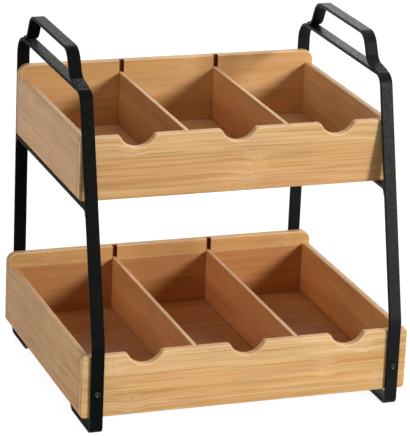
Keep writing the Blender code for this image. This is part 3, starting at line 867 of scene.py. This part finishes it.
def bamboo(name, along, across):
    wood = WoodNodes(name, along, across)
    wood.growth_rings()
    colour = wood.streaks(wood.strip_tones())
    colour = wood.blend(wood.math("MULTIPLY", wood.seam, GLUE_SHARE), colour, GLUE)
    colour = wood.ring_marks(colour)
    # The board's tone, partly its own and partly painted shade
    colour = wood.blend(1.0, colour, wood.tint, "MULTIPLY")
    # Darker strips below the top strip; on the lower back panel this is painted shade
    if wood.darker:
        below = wood.stretch(wood.from_seam, *BELOW_TOP_STRIP, 1.0, 0.0)
        colour = wood.blend(below, colour, wood.darker, "MULTIPLY")
    # Painted highlight on the tops and upward rounded edges, and end grain
    if wood.sanding:
        colour = wood.end_grain_and_highlights(colour)
    wood.surface(wood.shaded(colour))
    return wood.material


def routed_bamboo(name):
    """The dark walls of a groove."""
    n = Nodes(name + "_routed")
    place = n.add("ShaderNodeTexCoord").outputs["Object"]
    wall_noise = n.noise(place, *GROOVE_NOISE)
    lighter = [GROOVE_LIGHTER * part for part in GROOVE_WALL_TONE]
    n.link(n.blend(n.stretch(wall_noise, *GROOVE_RANGE), GROOVE_WALL_TONE, lighter), "Base Color")
    n.link(n.stretch(wall_noise, *NOISE_RANGE, *GROOVE_ROUGHNESS), "Roughness")
    n.bump(wall_noise, GROOVE_BUMP, FIBRE_BUMP)
    return n.material


# Black of each frame, from its darkest to its lightest patches, its gloss, and the painted
# highlight
# on its tops. The two frames are one coat: the left one is painted darker and made less glossy, the
# right one lighter, as painted shade and painted light for how the light falls on each
LIT_AND_SHADED_COAT_TONES = {
    "left": ((0.0004, 0.0005, 0.0006), (0.0012, 0.0014, 0.0015)),
    "right": ((0.0020, 0.0024, 0.0024), (0.0046, 0.0050, 0.0048)),
}
COAT_GLOSS = {"left": 0.05, "right": 0.105}
COAT_ROUGHNESS = {"left": (0.44, 0.70), "right": (0.34, 0.54)}
COAT_TOP_HIGHLIGHT = (0.13, 0.13, 0.125)
COAT_HIGHLIGHT_SHARE = {"left": 0.8, "right": 0.0}

# Noises in the coat, each as waves per metre, detail and roughness, and where its tops get the
# painted highlight
COAT_CLOUDS = (60.0, 3.0, 0.5)
COAT_SKIN = (1500.0, 2.0, 0.6)
COAT_SPECKLE = (420.0, 2.0, 0.7)
COAT_HIGHLIGHT_FACING = (0.93, 0.99)
COAT_HIGHLIGHT_SPECKLE = (0.4, 0.62)
SKIN_SHARE = 0.3
SPECKLE_SHARE = 0.7
MOTTLE_RANGE = (0.38, 0.62)
SKIN_BUMP = 0.25
STEEL_BUMP = 0.0001

# Blackened steel of the screws
OXIDE_TONES = ((0.003, 0.003, 0.003), (0.010, 0.010, 0.010))
OXIDE_NOISE = (900.0, 3.0, 0.6)
OXIDE_PATCHES = (0.45, 0.7)
OXIDE_ROUGHNESS = (0.22, 0.36)
OXIDE_GLOSS = 0.32
OXIDE_BUMP = 0.15


def powder_coat(side_name):
    """Black powder coat on steel: a fine orange-peel skin with a slight sheen, its black set per
    frame as painted shade and light, with a painted highlight on the left frame's tops.
    """
    n = Nodes(side_name + "_powder_coat_with_painted_light")
    place = n.add("ShaderNodeTexCoord").outputs["Object"]
    cloud = n.noise(place, *COAT_CLOUDS)
    skin = n.noise(place, *COAT_SKIN)
    speckle = n.noise(place, *COAT_SPECKLE)
    # Painted shade and light: the left frame's black is darker, the right frame's lighter
    colour = n.blend(n.stretch(cloud, *NOISE_RANGE), *LIT_AND_SHADED_COAT_TONES[side_name])
    normal = n.add("ShaderNodeNewGeometry").outputs["Normal"]
    facing = n.add("ShaderNodeSeparateXYZ", {0: normal}).outputs
    # Painted highlight: upward-facing tops turn speckled grey, by each frame's share
    lit_tops = n.math("MULTIPLY", n.stretch(facing["Z"], *COAT_HIGHLIGHT_FACING),
                  n.stretch(speckle, *COAT_HIGHLIGHT_SPECKLE))
    colour = n.blend(n.math("MULTIPLY", lit_tops, COAT_HIGHLIGHT_SHARE[side_name]), colour, COAT_TOP_HIGHLIGHT)
    n.link(colour, "Base Color")
    mottle = n.math("ADD", n.math("MULTIPLY", skin, SKIN_SHARE),
                    n.math("MULTIPLY", speckle, SPECKLE_SHARE))
    n.link(n.stretch(mottle, *MOTTLE_RANGE, *COAT_ROUGHNESS[side_name]), "Roughness")
    n.shader.inputs["Specular IOR Level"].default_value = COAT_GLOSS[side_name]
    n.bump(skin, SKIN_BUMP, STEEL_BUMP)
    return n.material


def black_oxide():
    """Blackened steel of the screws, with a soft glint."""
    n = Nodes("black_oxide")
    place = n.add("ShaderNodeTexCoord").outputs["Object"]
    wear = n.noise(place, *OXIDE_NOISE)
    n.link(n.blend(n.stretch(wear, *OXIDE_PATCHES), *OXIDE_TONES), "Base Color")
    n.link(n.stretch(wear, *NOISE_RANGE, *OXIDE_ROUGHNESS), "Roughness")
    n.shader.inputs["Specular IOR Level"].default_value = OXIDE_GLOSS
    n.bump(wear, OXIDE_BUMP, STEEL_BUMP)
    return n.material


for tray in TRAYS:
    build_tray(tray)
oxide = black_oxide()
for side_name, _ in SIDES:
    build_frame(side_name, powder_coat(side_name))
    for screw, facing in SCREW_FACINGS:
        build_screw(side_name + "_" + screw, facing, oxide)
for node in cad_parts:
    if node.endswith("_dowel"):
        dress(node, bamboo(node, "Y", "Z"))


# Camera at the photograph's place: the photograph is 410 pixels wide
PHOTO_WIDTH = 410
FOCAL_PIXELS = 2631.962
SENSOR_WIDTH = 36
CAMERA_PLACE = Vector((-0.77078, -2.09405, 0.89967))
CAMERA_YAW = math.radians(20.205)
CAMERA_PITCH = math.radians(18.721)
CAMERA_ROLL = math.radians(2.459)
CLIP_START = 0.05


def build_camera():
    turn = Matrix.Rotation(-CAMERA_YAW, 4, "Z")
    turn = turn @ Matrix.Rotation(math.pi / 2 - CAMERA_PITCH, 4, "X")
    turn = turn @ Matrix.Rotation(CAMERA_ROLL, 4, "Z")
    data = bpy.data.cameras.new("photo_camera")
    data.sensor_fit = "HORIZONTAL"
    data.sensor_width = SENSOR_WIDTH
    data.lens = SENSOR_WIDTH * FOCAL_PIXELS / PHOTO_WIDTH
    data.clip_start = CLIP_START
    camera = bpy.data.objects.new("photo_camera", data)
    camera.matrix_world = Matrix.Translation(CAMERA_PLACE) @ turn
    bpy.context.scene.collection.objects.link(camera)
    bpy.context.scene.camera = camera


def build_lamp(name, place, size, energy, colour):
    data = bpy.data.lights.new(name, "AREA")
    data.shape = "RECTANGLE"
    data.size, data.size_y = size
    data.energy = energy
    data.color = colour
    lamp = bpy.data.objects.new(name, data)
    lamp.location = place
    lamp.rotation_euler = (Vector(MIDDLE) - Vector(place)).to_track_quat("-Z", "Y").to_euler()
    bpy.context.scene.collection.objects.link(lamp)


def seen_ray(n):
    """1 for rays that show the background: from the camera, in a gloss or through glass."""
    path = n.add("ShaderNodeLightPath")
    seen = n.math("MAXIMUM", path.outputs["Is Camera Ray"], path.outputs["Is Glossy Ray"])
    return n.math("MAXIMUM", seen, path.outputs["Is Transmission Ray"])


class WorldNodes(Nodes):
    def __init__(self, world):
        world.use_nodes = True
        self.tree = world.node_tree


# White surroundings: the light they give the object, how bright they look, and their floor
AMBIENT = 0.07
SEEN_BRIGHTNESS = 1.0
FLOOR_SIZE = 12
FLOOR_ROUGHNESS = 0.9
FLOOR_TONE = (0.8, 0.8, 0.8)
SEEN_FLOOR_TONE = (0.3, 0.3, 0.3)
SEEN_FLOOR_GLOW = 0.93
WHITE = (1, 1, 1, 1)


def build_stage():
    world = bpy.data.worlds.new("studio")
    bpy.context.scene.world = world
    n = WorldNodes(world)
    background = n.tree.nodes["Background"]
    background.inputs["Color"].default_value = WHITE
    strength = n.stretch(seen_ray(n), 0.0, 1.0, AMBIENT, SEEN_BRIGHTNESS)
    n.tree.links.new(strength, background.inputs["Strength"])

    n = Nodes("floor_white")
    n.shader.inputs["Roughness"].default_value = FLOOR_ROUGHNESS
    n.shader.inputs["Specular IOR Level"].default_value = 0.0
    seen = seen_ray(n)
    n.link(n.blend(seen, FLOOR_TONE, SEEN_FLOOR_TONE), "Base Color")
    n.shader.inputs["Emission Color"].default_value = WHITE
    n.link(n.math("MULTIPLY", seen, SEEN_FLOOR_GLOW), "Emission Strength")
    mesh_data = bmesh.new()
    bmesh.ops.create_grid(mesh_data, x_segments=1, y_segments=1, size=FLOOR_SIZE / 2)
    mesh = bpy.data.meshes.new("floor")
    mesh_data.to_mesh(mesh)
    mesh_data.free()
    floor = bpy.data.objects.new("floor", mesh)
    mesh.materials.append(n.material)
    bpy.context.scene.collection.objects.link(floor)


# Lamps that point at the object's middle: name, place, size, power in watts and colour
MIDDLE = (0, 0, 0.14)
LAMPS = (
    ("key", (2.22, -3.56, 1.47), (0.8, 0.8), 149, (1.0, 0.985, 0.96)),
    ("left_fill", (-1.9, -0.35, 0.95), (1.0, 0.8), 9, (1.0, 0.99, 0.98)),
    ("top", (0.1, -0.1, 1.9), (1.2, 1.2), 6.5, (1.0, 0.99, 0.97)),
    ("back", (0.8, 1.9, 0.95), (1.6, 0.8), 9, (1.0, 0.99, 0.97)),
)

build_camera()
build_stage()
for lamp in LAMPS:
    build_lamp(*lamp)
bpy.context.scene.view_settings.view_transform = "Standard"
